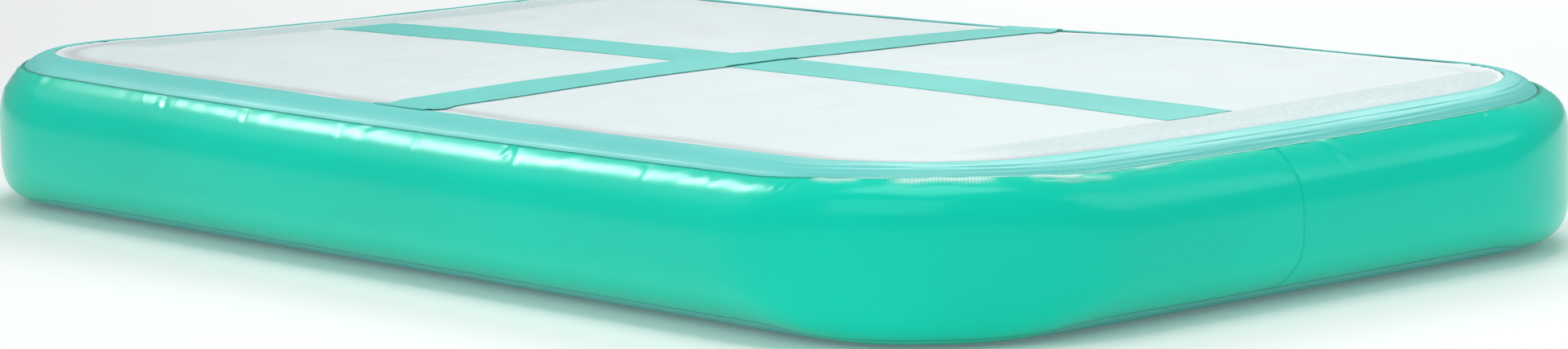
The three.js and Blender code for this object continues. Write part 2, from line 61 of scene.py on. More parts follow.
def make_camera():
    back = Vector(
        (
            math.sin(YAW) * math.cos(PITCH),
            -math.cos(YAW) * math.cos(PITCH),
            math.sin(PITCH),
        )
    )
    level_right = Vector((math.cos(YAW), math.sin(YAW), 0))
    level_up = back.cross(level_right)
    right = math.cos(ROLL) * level_right + math.sin(ROLL) * level_up
    up = -math.sin(ROLL) * level_right + math.cos(ROLL) * level_up
    data = bpy.data.cameras.new("camera")
    camera = bpy.data.objects.new("camera", data)
    bpy.context.scene.collection.objects.link(camera)
    place = back * DISTANCE + level_right * SLIDE_RIGHT + level_up * SLIDE_UP
    turned = Matrix((right, up, back)).transposed().to_4x4()
    camera.matrix_world = Matrix.Translation(place) @ turned
    data.sensor_fit = "HORIZONTAL"
    data.sensor_width = FILM_WIDTH
    data.lens = FILM_WIDTH * FOCAL / IMAGE_WIDTH
    data.clip_end = 100
    bpy.context.scene.camera = camera


make_camera()

# ---- Sizes, in millimetres ----

HALF_X, HALF_Y = 500.0, 300.0
CORNER = 160.0  # the outermost line's corner radius
SEAM_INSET, SEAM_CORNER = 20.4, 129.0  # the line where tape and wall meet, seen from above
BORDER_HALF_X, BORDER_HALF_Y, BORDER_CORNER = 457.5, 255.4, 97.5
EDGE_HEIGHT = 94.5  # the white cloth at its border
FILM, TAPE, CLOTH, STRIPE_TAPE_THICKNESS = 1.0, 0.8, 1.5, 0.45
UPPER_SEAM = 86.6
UPPER_SEAM_AT_CORNERS = [85.6, 88.0, 87.2, 88.7]  # from the corner at +X, +Y, counter-clockwise
LOWER_SEAM, LOWER_SEAM_AT_CORNER = 9.5, 3.5
CROWN = 3.7  # how much higher the top face is in its middle
SHOULDER_POWER = 2.2  # how the tape rounds over from seam to border
SIDE_POWER = 3.1  # how square the bulging wall is
UPPER_CORNER_POWERS = [6.8, 3.4, 3.2, 5.6]  # from the corner at +X, +Y, counter-clockwise
LOWER_CORNER_POWER = 5.6
STRIPE_WIDTH = 51.0
STRIPE_END = 403.5  # the drop-stitch field and the long stripe end here
LAP_Y = -20.0  # the free edge of the wall's lap joint, in the +X side
LAP_DROP, LAP_RAMP = 0.22, 14.0
SEAT_DEPTH, SEAT_RADIUS, SEAT_BLEND_RADIUS = 12.0, 38.0, 84.0
VALVE_Z = 46.75
VALVE_HOLE = 19.0  # radius
STEP = 2.5  # spacing of stations round the mat

# ---- Stations round the mat, the same ones for every ring ----


def side_shares(length, at_lap):
    """Where a side's stations are, from 0 to 1, with two close together at the lap's edge."""
    count = int(round(length / STEP))
    shares = np.arange(count) / count
    if at_lap:
        around_lap = [(LAP_Y + offset + length / 2) / length for offset in (-0.35, 0.35)]
        shares = np.sort(np.concatenate([shares, around_lap]))
    return shares


CORNER_ANGLES = np.arange(int(round(CORNER * math.pi / 2 / STEP)))
CORNER_ANGLES = CORNER_ANGLES * (math.pi / 2) / len(CORNER_ANGLES)
SIDES = [
    side_shares(2 * HALF_X - 2 * CORNER, False),
    side_shares(2 * HALF_Y - 2 * CORNER, False),
    side_shares(2 * HALF_X - 2 * CORNER, False),
    side_shares(2 * HALF_Y - 2 * CORNER, True),
]
CORNER_SIGNS = [(1, 1), (-1, 1), (-1, -1), (1, -1)]


def ring_points(half_x, half_y, radius):
    """A rounded rectangle, counter-clockwise from the corner at +X, +Y."""
    found = []
    for i, (sign_x, sign_y) in enumerate(CORNER_SIGNS):
        centre = np.array([sign_x * (half_x - radius), sign_y * (half_y - radius)])
        angles = CORNER_ANGLES + i * math.pi / 2
        found.append(centre + radius * np.stack([np.cos(angles), np.sin(angles)], 1))
        turn = (i + 1) * math.pi / 2
        outward = np.array([math.cos(turn), math.sin(turn)])
        next_x, next_y = CORNER_SIGNS[(i + 1) % 4]
        next_centre = np.array([next_x * (half_x - radius), next_y * (half_y - radius)])
        shares = SIDES[i][:, None]
        found.append(centre + radius * outward + (next_centre - centre) * shares)
    return np.concatenate(found)


OUTER = ring_points(HALF_X, HALF_Y, CORNER)
SEAM = ring_points(HALF_X - SEAM_INSET, HALF_Y - SEAM_INSET, SEAM_CORNER)
BORDER = ring_points(BORDER_HALF_X, BORDER_HALF_Y, BORDER_CORNER)
ON_LAP_SIDE = np.abs(OUTER[:, 0] - HALF_X) < 1e-6
ON_VALVE_SIDE = np.abs(OUTER[:, 0] + HALF_X) < 1e-6


def smooth(share):
    share = np.clip(share, 0, 1)
    return share * share * (3 - 2 * share)


def along_ring(on_sides, at_corners):
    """One number at every station: the same on all sides, its own in the middle of each corner."""
    pieces = []
    for at_corner, shares in zip(at_corners, SIDES):
        rounding = smooth(np.sin(2 * CORNER_ANGLES))
        pieces.append(on_sides + (at_corner - on_sides) * rounding)
        pieces.append(on_sides + 0 * shares)
    return np.concatenate(pieces)


AT_CORNER = along_ring(0.0, [1.0] * 4)
UPPER_POWER = along_ring(SIDE_POWER, UPPER_CORNER_POWERS)
LOWER_POWER = SIDE_POWER + (LOWER_CORNER_POWER - SIDE_POWER) * AT_CORNER
STATIONS = len(OUTER)
ALONG = np.concatenate([[0], np.cumsum(np.linalg.norm(np.diff(OUTER, axis=0), axis=1))])
ROUND = ALONG[-1] + np.linalg.norm(OUTER[0] - OUTER[-1])
SEAM_HEIGHT = along_ring(UPPER_SEAM, UPPER_SEAM_AT_CORNERS)
LOW_HEIGHT = LOWER_SEAM + (LOWER_SEAM_AT_CORNER - LOWER_SEAM) * AT_CORNER


def along_at(x, y):
    """The distance round the mat of the station nearest to a place."""
    return ALONG[np.argmin(np.hypot(OUTER[:, 0] - x, OUTER[:, 1] - y))]


def apart(along, place):
    """Signed distance round the mat from a place, the short way."""
    return (along - place + ROUND / 2) % ROUND - ROUND / 2


def near(place, reach):
    """1 at a place on the outline, falling smoothly to 0 at a distance along it."""
    return smooth(1 - np.abs(apart(ALONG, along_at(*place))) / reach)


def warped(points):
    """The slight twist, the lifted corners and the raised far side of a mat under pressure."""
    moved = np.array(points, dtype=float)
    x = moved[..., 0] / HALF_X
    y = moved[..., 1] / HALF_Y
    sag, twist, corners = -1.2 * x * x - 0.7 * y * y, 2.3 * x * y, 7.0 * x * x * y * y
    lift = sag + twist + corners
    lift += 3.7 * np.exp(-(((x - 0.32) / 0.26) ** 2)) * smooth((y - 0.4) / 0.57)
    moved[..., 2] += lift * np.clip(moved[..., 2] / EDGE_HEIGHT, 0, 1)
    return moved


# ---- Smooth noise in numpy, the same on every run ----


def waves(x, y, scale_x, scale_y, seed, layers=5):
    """A sum of sines in random directions, of about unit size."""
    rng = np.random.default_rng(seed)
    total = np.zeros(np.broadcast(x, y).shape)
    for _ in range(layers):
        turn_x, turn_y = rng.uniform(0.5, 1.6, 2) * rng.choice([-1, 1], 2)
        start = rng.uniform(0, 2 * math.pi)
        total += np.sin(2 * math.pi * (turn_x * x / scale_x + turn_y * y / scale_y) + start)
    return total / math.sqrt(layers)


def ring_waves(along, period, seed, layers=7):
    """Noise that repeats after one trip round the mat."""
    rng = np.random.default_rng(seed)
    total = np.zeros(np.shape(along))
    for _ in range(layers):
        turns = max(1, int(round(ROUND / period * rng.uniform(0.55, 1.7))))
        total += np.sin(2 * math.pi * turns * along / ROUND + rng.uniform(0, 2 * math.pi))
    return total / math.sqrt(layers)


# ---- Meshes from grids of points ----


def mesh_object(name, points, faces, material, is_smooth=True):
    mesh = bpy.data.meshes.new(name)
    mesh.from_pydata((np.asarray(points) * MM).tolist(), [], faces)
    mesh.materials.append(material)
    if is_smooth:
        mesh.shade_smooth()
    made = bpy.data.objects.new(name, mesh)
    bpy.context.scene.collection.objects.link(made)
    return made


def store(made, name, values):
    """Keeps one number per vertex on a mesh, for its material to read."""
    layer = made.data.attributes.new(name, "FLOAT", "POINT")
    layer.data.foreach_set("value", np.ascontiguousarray(values, dtype=np.float32).ravel())


def grid_faces(columns, rows, closed, keep=None):
    i = np.arange(columns if closed else columns - 1)[:, None]
    j = np.arange(rows - 1)[None, :]
    here = i * rows + j
    there = ((i + 1) % columns) * rows + j
    faces = np.stack([here, there, there + 1, here + 1], 2).reshape(-1, 4)
    if keep is not None:
        faces = faces[keep.ravel()]
    return faces.tolist()


def thicken(made, thickness, offset=-1):
    """Gives a sheet its thickness, below its surface at offset -1 and above it at 1."""
    layer = made.modifiers.new("thickness", "SOLIDIFY")
    layer.thickness = thickness * MM
    layer.offset = offset
    layer.use_even_offset = False
    return made


def surface_normals(grid):
    """Unit normals of a grid of points that closes on itself along its first direction."""
    round_way = np.roll(grid, -1, axis=0) - np.roll(grid, 1, axis=0)
    down_way = np.gradient(grid, axis=1)
    normal = np.cross(round_way, -down_way)
    return normal / np.linalg.norm(normal, axis=2, keepdims=True)


# ---- Materials ----


def shader(name):
    made = bpy.data.materials.new(name)
    made.use_nodes = True
    return made, made.node_tree, made.node_tree.nodes["Principled BSDF"]


def node(tree, kind, **values):
    made = tree.nodes.new(kind)
    for key, value in values.items():
        if key in made.inputs:
            made.inputs[key].default_value = value
        else:
            setattr(made, key, value)
    return made


def feed(tree, value, socket):
    if hasattr(value, "is_output"):
        tree.links.new(value, socket)
    else:
        socket.default_value = value


def mixed(tree, factor, first, second):
    made = tree.nodes.new("ShaderNodeMix")
    made.data_type = "RGBA"
    feed(tree, factor, made.inputs[0])
    feed(tree, first, made.inputs[6])
    feed(tree, second, made.inputs[7])
    return made.outputs[2]


def maths(tree, operation, first, second=0.0):
    made = node(tree, "ShaderNodeMath", operation=operation)
    feed(tree, first, made.inputs[0])
    feed(tree, second, made.inputs[1])
    return made.outputs[0]


def noise(tree, coordinates, scale, detail=2.0, roughness=0.5):
    made = node(tree, "ShaderNodeTexNoise", Scale=scale, Detail=detail, Roughness=roughness)
    tree.links.new(coordinates, made.inputs["Vector"])
    return made.outputs["Fac"]


def ramp(tree, value, low, high, to_low=0.0, to_high=1.0):
    made = node(tree, "ShaderNodeMapRange", interpolation_type="SMOOTHSTEP")
    made.inputs["From Min"].default_value = low
    made.inputs["From Max"].default_value = high
    made.inputs["To Min"].default_value = to_low
    made.inputs["To Max"].default_value = to_high
    tree.links.new(value, made.inputs["Value"])
    return made.outputs["Result"]


def bump(tree, bsdf, height, strength, distance):
    made = node(tree, "ShaderNodeBump", Strength=strength, Distance=distance)
    tree.links.new(height, made.inputs["Height"])
    tree.links.new(made.outputs["Normal"], bsdf.inputs["Normal"])


def attribute(tree, name):
    return node(tree, "ShaderNodeAttribute", attribute_name=name).outputs["Fac"]


def object_place(tree):
    return node(tree, "ShaderNodeTexCoord").outputs["Object"]


def stretched(tree, place, x, y, z):
    made = node(tree, "ShaderNodeMapping")
    made.inputs["Scale"].default_value = (x, y, z)
    tree.links.new(place, made.inputs["Vector"])
    return made.outputs["Vector"]


def coated(name, colour, deeper, rough, level, scuff, grain, grain_scale=900.0):
    """A smooth coated or moulded surface: slow colour drift, uneven gloss and a fine grain.
    rough is its mean roughness, level its specular level, scuff how uneven its gloss is."""
    made, tree, bsdf = shader(name)
    place = object_place(tree)
    drift = ramp(tree, noise(tree, place, 6.0, 3.0), 0.3, 0.72)
    tree.links.new(mixed(tree, drift, (*colour, 1), (*deeper, 1)), bsdf.inputs["Base Color"])
    patches = noise(tree, place, 14.0, 2.0, 0.4)
    gloss = ramp(tree, patches, 0.25, 0.75, rough - scuff, rough + scuff)
    tree.links.new(gloss, bsdf.inputs["Roughness"])
    bsdf.inputs["Specular IOR Level"].default_value = level
    bump(tree, bsdf, noise(tree, place, grain_scale, 2.0), grain, 0.0002)
    return made


def band_material():
    """Satin tape, with painted shadow along the edge that is welded to the wall."""
    made = coated("band_tape", (0.17, 0.74, 0.68), (0.15, 0.69, 0.63), 0.38, 0.4, 0.05, 0.10)
    tree = made.node_tree
    bsdf = tree.nodes["Principled BSDF"]
    plain = bsdf.inputs["Base Color"].links[0].from_socket
    # Painted shadow: a dark line along the tape's edge at the seam.
    edge = ramp(tree, attribute(tree, "from_seam"), 0.2, 1.1, 0.75, 0.0)
    tree.links.new(mixed(tree, edge, plain, (0.02, 0.36, 0.30, 1)), bsdf.inputs["Base Color"])
    return made


def wall_film():
    """Glossy film. Near the upper seam it keeps the marks of the heated press as fine ribs, and
    each fold's ridge there is whitened as a painted highlight. The dark lines under the upper seam,
    along the lower weld and at the lap's edge are painted shadow.
    """
    made, tree, bsdf = shader("wall_film")
    place = object_place(tree)
    drift = ramp(tree, noise(tree, place, 5.0, 2.0), 0.3, 0.72)
    base = mixed(tree, drift, (*WALL_COLOUR, 1), (*WALL_DEEPER, 1))
    # Painted shadow: thin dark lines at the lap's free edge, just under the upper seam's tape and
    # along the lower weld.
    lap_shadow = ramp(tree, attribute(tree, "lap_edge"), 0.2, 0.8, 0.3, 0.0)
    below = attribute(tree, "below_seam")
    seam_shadow = ramp(tree, below, 0.9, 2.2, 0.8, 0.0)
    from_low_weld = maths(tree, "ABSOLUTE", attribute(tree, "low_weld"))
    low_weld_shadow = ramp(tree, from_low_weld, 0.4, 1.4, 0.5, 0.0)
    painted_edge_shadow = maths(tree, "MAXIMUM", maths(tree, "MAXIMUM", lap_shadow, seam_shadow), low_weld_shadow)
    base = mixed(tree, painted_edge_shadow, base, (*[0.45 * c for c in WALL_DEEPER], 1))
    along = attribute(tree, "along")
    ribs = maths(tree, "SINE", maths(tree, "MULTIPLY", along, 2 * math.pi / RIB_PITCH))
    on_ribs = ramp(tree, ribs, -1.0, 0.6, 0.60, 1.0)
    # Painted highlight: each fold's ridge is whitened, most on the ribs.
    painted_ridge_highlight = maths(tree, "MULTIPLY", attribute(tree, "ridge"), on_ribs)
    base = mixed(tree, painted_ridge_highlight, base, (0.90, 1.0, 1.0, 1))
    tree.links.new(base, bsdf.inputs["Base Color"])
    patches = noise(tree, place, 9.0, 1.0, 0.4)
    tree.links.new(ramp(tree, patches, 0.25, 0.75, 0.18, 0.25), bsdf.inputs["Roughness"])
    bsdf.inputs["Specular IOR Level"].default_value = 0.34
    bsdf.inputs["Specular Tint"].default_value = (*FILM_SHEEN, 1)
    window = maths(
        tree, "MULTIPLY", ramp(tree, below, 0.8, 2.0), ramp(tree, below, 5.0, 8.0, 1.0, 0.0)
    )
    ribs = maths(tree, "MULTIPLY", maths(tree, "MULTIPLY", ribs, window), attribute(tree, "ribbed"))
    grain = maths(tree, "MULTIPLY", noise(tree, place, 500.0, 1.0), 0.06)
    height = maths(tree, "ADD", maths(tree, "MULTIPLY", ribs, 0.5), grain)
    bump(tree, bsdf, height, 0.35, 0.00035)
    return made


def top_cloth_material():
    """White coated cloth: satin, a paler glued rim that is a painted highlight, painted shade in
    the groove inside it, greyer painted shade at the ends of the drop-stitch field and painted
    shade in each dimple.
    """
    made, tree, bsdf = shader("top_cloth")
    place = object_place(tree)
    drift = ramp(tree, noise(tree, place, 5.0, 3.0), 0.3, 0.75)
    colours = mixed(tree, drift, (0.79, 0.875, 0.875, 1), (0.75, 0.845, 0.845, 1))
    mottle = ramp(tree, noise(tree, place, 330.0, 3.0, 0.65), 0.35, 0.65)
    # Painted shade: the ends of the drop-stitch field, past the stripe, are greyer and mottled.
    selvedge_shade_colour = mixed(tree, mottle, (0.53, 0.68, 0.675, 1), (0.66, 0.80, 0.795, 1))
    colours = mixed(tree, attribute(tree, "painted_selvedge_shade"), colours, selvedge_shade_colour)
    # Painted shade in each dimple, by how deep a point lies in it.
    colours = mixed(tree, attribute(tree, "painted_dimple_shade"), colours, (0.60, 0.70, 0.70, 1))
    # Painted shade in the soft groove just inside the border.
    pressed = mixed(tree, mottle, (0.50, 0.53, 0.53, 1), (0.56, 0.58, 0.58, 1))
    colours = mixed(tree, attribute(tree, "pressed"), colours, pressed)
    # Painted highlight: a paler line along the rim.
    rim = ramp(tree, attribute(tree, "inset"), 2.8, 4.5, 1.0, 0.0)
    colours = mixed(tree, rim, colours, (0.86, 0.92, 0.92, 1))
    tree.links.new(colours, bsdf.inputs["Base Color"])
    patches = noise(tree, place, 30.0, 3.0)
    tree.links.new(ramp(tree, patches, 0.3, 0.7, 0.42, 0.54), bsdf.inputs["Roughness"])
    bsdf.inputs["Specular IOR Level"].default_value = 0.35
    bump(tree, bsdf, noise(tree, place, 700.0, 2.0), 0.25, 0.0003)
    return made


def stripe_material():
    """Satin tape, glued down, with painted shade along its cut edge."""
    made, tree, bsdf = shader("stripe_tape")
    place = object_place(tree)
    drift = ramp(tree, noise(tree, place, 7.0, 3.0), 0.3, 0.7)
    colours = mixed(tree, drift, (*STRIPE_COLOUR, 1), (*STRIPE_DEEPER, 1))
    # Painted shade: a darker line along the tape's cut edge.
    edge = ramp(tree, attribute(tree, "from_edge"), 0.2, 1.0, 0.6, 0.0)
    colours = mixed(tree, edge, colours, (0.07, 0.40, 0.36, 1))
    tree.links.new(colours, bsdf.inputs["Base Color"])
    patches = noise(tree, place, 22.0, 3.0, 0.5)
    tree.links.new(ramp(tree, patches, 0.3, 0.7, 0.38, 0.46), bsdf.inputs["Roughness"])
    bsdf.inputs["Specular IOR Level"].default_value = 0.35
    bump(tree, bsdf, noise(tree, place, 900.0, 2.0), 0.14, 0.0002)
    return made


def thread_material():
    """Polyester yarn bundles: twisted filaments across the bundle's width."""
    made, tree, bsdf = shader("drop_yarn")
    place = object_place(tree)
    twist = node(tree, "ShaderNodeTexWave", Scale=260.0, Distortion=3.0)
    tree.links.new(place, twist.inputs["Vector"])
    colours = mixed(tree, twist.outputs["Fac"], (0.74, 0.74, 0.71, 1), (0.86, 0.86, 0.83, 1))
    tree.links.new(colours, bsdf.inputs["Base Color"])
    fuzz = noise(tree, place, 1200.0, 2.0)
    tree.links.new(ramp(tree, fuzz, 0.3, 0.7, 0.7, 0.9), bsdf.inputs["Roughness"])
    bump(tree, bsdf, twist.outputs["Fac"], 0.5, 0.0004)
    return made


def spring_material():
    """Drawn stainless wire, streaked along its length."""
    made, tree, bsdf = shader("spring_wire")
    place = object_place(tree)
    drawn = noise(tree, stretched(tree, place, 3000.0, 400.0, 400.0), 1.0, 3.0)
    colours = mixed(tree, drawn, (0.62, 0.63, 0.65, 1), (0.78, 0.79, 0.80, 1))
    tree.links.new(colours, bsdf.inputs["Base Color"])
    tree.links.new(ramp(tree, drawn, 0.3, 0.7, 0.22, 0.38), bsdf.inputs["Roughness"])
    bsdf.inputs["Metallic"].default_value = 1.0
    bump(tree, bsdf, drawn, 0.2, 0.0001)
    return made


WALL_COLOUR, WALL_DEEPER = (0.003, 0.79, 0.56), (0.004, 0.73, 0.51)
STRIPE_COLOUR, STRIPE_DEEPER = (0.155, 0.73, 0.65), (0.135, 0.67, 0.60)
RIB_PITCH = 2.2
FILM_SHEEN = (0.42, 1.0, 1.0)  # the film tints what it mirrors
MOULDED_GRAIN, RUBBER_GRAIN = 1400.0, 1100.0  # noise scales

WALL_FILM = wall_film()
BAND_TAPE = band_material()
STRIPE_TAPE = stripe_material()
BASE_CLOTH = coated("base_cloth", (0.30, 0.62, 0.56), (0.26, 0.56, 0.51), 0.6, 0.3, 0.06, 0.3)
TOP_CLOTH = top_cloth_material()
LINER_FILM = coated("liner_film", (0.50, 0.60, 0.58), (0.44, 0.54, 0.52), 0.6, 0.35, 0.06, 0.2)
YARN = thread_material()
VALVE_GREYS = (0.115, 0.14, 0.15), (0.10, 0.125, 0.133)
VALVE_PLASTIC = coated("valve_plastic", *VALVE_GREYS, 0.42, 0.45, 0.07, 0.35, MOULDED_GRAIN)
INNER_GREYS = (0.022, 0.026, 0.03), (0.03, 0.034, 0.038)
INNER_PLASTIC = coated("inner_plastic", *INNER_GREYS, 0.5, 0.45, 0.07, 0.3, MOULDED_GRAIN)
RUBBER_GREYS = (0.010, 0.010, 0.011), (0.016, 0.016, 0.017)
RUBBER = coated("rubber_seal", *RUBBER_GREYS, 0.72, 0.3, 0.08, 0.5, RUBBER_GRAIN)
SPRING = spring_material()
PATCH_FILM = coated("patch_film", WALL_COLOUR, WALL_DEEPER, 0.26, 0.42, 0.04, 0.06)

# ---- Side wall ----


WALL_ROWS = 44


def wall_shares():
    """From 1 at the upper seam to -1 at the lower one, with rows closer at the seams."""
    t = np.linspace(0, 1, WALL_ROWS)
    return 1 - 2 * (t - 0.11 * np.sin(2 * math.pi * t))


def fold_at(start, stop):
    """A fold's middle and half its length, as distances round the mat."""
    first, last = along_at(*start), along_at(*stop)
    return first + apart(last, first) / 2, abs(apart(last, first)) / 2


def wall_base():
    """The smooth bulging wall, one row of points down it at every station, pressed flat at the
    valve. Also how free of the valve each point is, and its distance from the valve's axis."""
    v = wall_shares()[None, :]
    power = np.where(v > 0, UPPER_POWER[:, None], LOWER_POWER[:, None])
    inward = SEAM - OUTER
    depth = np.linalg.norm(inward, axis=1)[:, None]
    unit = inward / depth
    middle = ((SEAM_HEIGHT + LOW_HEIGHT) / 2)[:, None]
    half = ((SEAM_HEIGHT - LOW_HEIGHT) / 2)[:, None]
    height = middle + half * v
    inset = depth * np.abs(v) ** power
    from_valve = np.hypot(OUTER[:, 1][:, None], height - VALVE_Z)
    hold = 1 - smooth((from_valve - SEAT_RADIUS) / (SEAT_BLEND_RADIUS - SEAT_RADIUS))
    seated = np.where(ON_VALVE_SIDE[:, None], SEAT_DEPTH * hold, -np.inf)
    inset = np.maximum(inset, seated)
    place = OUTER[:, None, :] + unit[:, None, :] * inset[:, :, None]
    grid = np.concatenate([place, height[:, :, None]], 2)
    free = smooth((from_valve - 30) / 40)
    return grid, np.where(ON_VALVE_SIDE[:, None], free, 1.0), from_valve


# Folds along the upper seam: from a place, to a place, height, distance below the seam, strength of
# the painted highlight on its ridge
SEAM_FOLDS = [
    ((386, -277), (409, -259), 0.45, 2.6, 0.7),
    ((424, -248), (460, -208), 0.80, 2.8, 1.0),
    ((462, -186), (473, -157), 0.60, 2.4, 0.9),
    ((466, -176), (476, -140), 0.40, 6.0, 0.4),
    ((477, -120), (478, -95), 0.25, 2.2, 0.4),
    ((-386, -277), (-430, -243), 0.40, 5.0, 0.1),
    ((380, 279), (430, 243), 0.40, 5.5, 0.1),
    ((-420, 250), (-462, 205), 0.50, 4.8, 0.1),
]

# Short creases: place, distance below the seam, length, tilt from the seam's line, depth, width
CREASES = [
    ((56, -300), 6.0, 14.0, 1.15, 0.45, 1.6),
    ((141, -300), 5.5, 9.0, 1.45, -0.60, 2.4),
    ((150, -300), 8.0, 15.0, 0.95, 0.45, 1.8),
    ((-20, -300), 8.0, 12.0, 0.85, 0.30, 1.8),
    ((-118, -300), 7.0, 12.0, 0.95, 0.28, 1.8),
    ((-205, -300), 7.0, 13.0, 1.00, 0.30, 2.0),
    ((262, -300), 7.0, 12.0, 1.00, 0.35, 1.8),
    ((318, -300), 6.0, 10.0, 1.20, 0.35, 1.6),
    ((372, -280), 6.0, 9.0, 1.35, 0.60, 1.3),
    ((378, -278), 6.5, 8.0, 1.45, 0.50, 1.2),
    ((500, 17), 10.0, 20.0, 1.05, -0.55, 1.7),
    ((500, 26), 8.0, 13.0, 1.30, 0.40, 2.0),
    ((500, 84), 7.0, 12.0, 1.20, 0.30, 1.8),
    ((-420, -281), 13.0, 34.0, -0.10, 1.00, 2.4),
    ((-452, -255), 16.0, 22.0, 0.16, 0.60, 2.0),
    ((-210, 300), 7.0, 14.0, 1.05, 0.40, 1.8),
    ((90, 300), 7.0, 12.0, -1.10, 0.40, 1.8),
    ((260, 300), 9.0, 18.0, 0.90, 0.45, 2.0),
    ((-500, 150), 8.0, 16.0, 1.00, 0.50, 2.0),
    ((-500, -150), 8.0, 14.0, -1.05, 0.45, 2.0),
]


SWELL, FINER_SWELL = 0.30, 0.10
PUCKER_REACH = 9.0  # how far the puckers run from a seam
UPPER_PUCKERS, LOWER_PUCKERS = 1.0, 0.35


def wall_relief(below, above_low, free):
    """Heights on the wall: broad swells, puckers at both seams, folds, creases and the lap.
    Also how much painted highlight each point on a fold's ridge gets."""
    along = ALONG[:, None]
    middle = smooth(below / 25) * smooth(above_low / 25)
    relief = middle * (SWELL * ring_waves(ALONG, 330, 13, 5)[:, None])
    relief = relief + middle * FINER_SWELL * waves(along, below, 260, 150, 17)
    pull = (0.45 + 0.35 * ring_waves(ALONG, 170, 15, 5))[:, None]
    pull = np.clip(pull, 0.1, 1.2) * (1 + 0.5 * AT_CORNER[:, None])
    lean = 0.35 * below  # the puckers lean over as they leave the seam
    coarse = ring_waves(along + lean, 30, 11, 9)
    fine = ring_waves(along - lean, 12, 12, 9)
    for distance, amount in ((below, UPPER_PUCKERS), (above_low, LOWER_PUCKERS)):
        held = np.exp(-((distance / PUCKER_REACH) ** 1.4)) * (1 - np.exp(-distance / 1.5))
        relief = relief - amount * pull * held * (0.20 * coarse + 0.07 * fine)
    ridge_highlight = np.zeros_like(below)
    for start, stop, height, centre, highlight_share in SEAM_FOLDS:
        middle_of_fold, half = fold_at(start, stop)
        share = np.abs(apart(along, middle_of_fold)) / half
        present = smooth((1.15 - share) / 0.45)
        wander = centre + 0.6 * ring_waves(ALONG, 45, int(centre * 10) + 60, 4)[:, None]
        ridge = np.exp(-(((below - wander) / 1.2) ** 2))
        valley = np.exp(-(((below - wander - 3.0) / 1.4) ** 2))
        relief = relief + present * height * (ridge - 0.45 * valley)
        ridge_highlight = np.maximum(ridge_highlight, highlight_share * present * ridge)
    for place, centre, length, tilt, depth, width in CREASES:
        here = apart(along, along_at(*place))
        down = below - centre
        lengthways = here * math.cos(tilt) + down * math.sin(tilt)
        across = -here * math.sin(tilt) + down * math.cos(tilt)
        present = np.exp(-((2 * lengthways / length) ** 4))
        lip = np.exp(-(((across - 2 * width) / width) ** 2))
        groove = np.exp(-((across / width) ** 2)) - 0.5 * lip
        relief = relief - present * depth * groove
    relief = relief * smooth(below / 1.5) * free
    ridge_highlight = ridge_highlight * smooth(below / 1.5)
    from_lap = OUTER[:, 1] - LAP_Y
    under = ON_LAP_SIDE & (from_lap < 0)
    drop = np.where(under, LAP_DROP * smooth((from_lap + LAP_RAMP) / LAP_RAMP), 0)
    return relief - drop[:, None] * smooth(below / 2.5) * smooth(above_low / 2.5), ridge_highlight


LOW_WELD, LOW_WELD_AT_CORNER = 0.8, 5.0  # the lower weld line's height, and its climb at corners
FAR_FROM_LAP = 1000.0


def make_side_wall():
    base, free, from_valve = wall_base()
    normal = surface_normals(base)
    steps = np.linalg.norm(np.diff(base, axis=1), axis=2)
    below = np.concatenate([np.zeros((STATIONS, 1)), np.cumsum(steps, axis=1)], 1)
    above_low = below[:, -1:] - below
    relief, ridge_highlight = wall_relief(below, above_low, free)
    grid = warped(base + normal * relief[:, :, None])
    rows = grid.shape[1]
    open_at_valve = ON_VALVE_SIDE[:, None] & (from_valve < VALVE_HOLE)
    faces = grid_faces(STATIONS, rows, True, ~open_at_valve[:, :-1])
    made = mesh_object("side_wall_film", grid.reshape(-1, 3), faces, WALL_FILM)
    ribbed = np.zeros(STATIONS)
    for start, stop, *_ in SEAM_FOLDS:
        middle_of_fold, half = fold_at(start, stop)
        share = np.abs(apart(ALONG, middle_of_fold)) / half
        ribbed = np.maximum(ribbed, smooth((1.3 - share) / 0.4))
    lap_edge = np.where(ON_LAP_SIDE, np.abs(OUTER[:, 1] - LAP_Y), FAR_FROM_LAP)
    store(made, "along", np.repeat(ALONG[:, None], rows, 1))
    store(made, "below_seam", below)
    # The ridge attribute holds the painted highlight on the folds.
    store(made, "ridge", ridge_highlight)
    store(made, "low_weld", above_low - LOW_WELD - LOW_WELD_AT_CORNER * AT_CORNER[:, None])
    store(made, "ribbed", np.repeat((0.15 + 0.85 * ribbed)[:, None], rows, 1))
    store(made, "lap_edge", np.repeat(lap_edge[:, None], rows, 1))
    thicken(made, FILM)
    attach(made, "mat")
    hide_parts("outer_side_wall")


# ---- Edge bands ----

# Lines pressed into the tape: share of its width from the seam, depth, width, seed
BAND_LINES = [(0.24, 0.26, 0.030, 31), (0.45, 0.34, 0.034, 32), (0.66, 0.24, 0.030, 33)]
TAPE_LIP = 1.1  # how far the tape's outer edge turns down over the wall
WELD_SHARE, WELD_WIDTH, WELD_DEPTH = 0.10, 0.022, 0.30


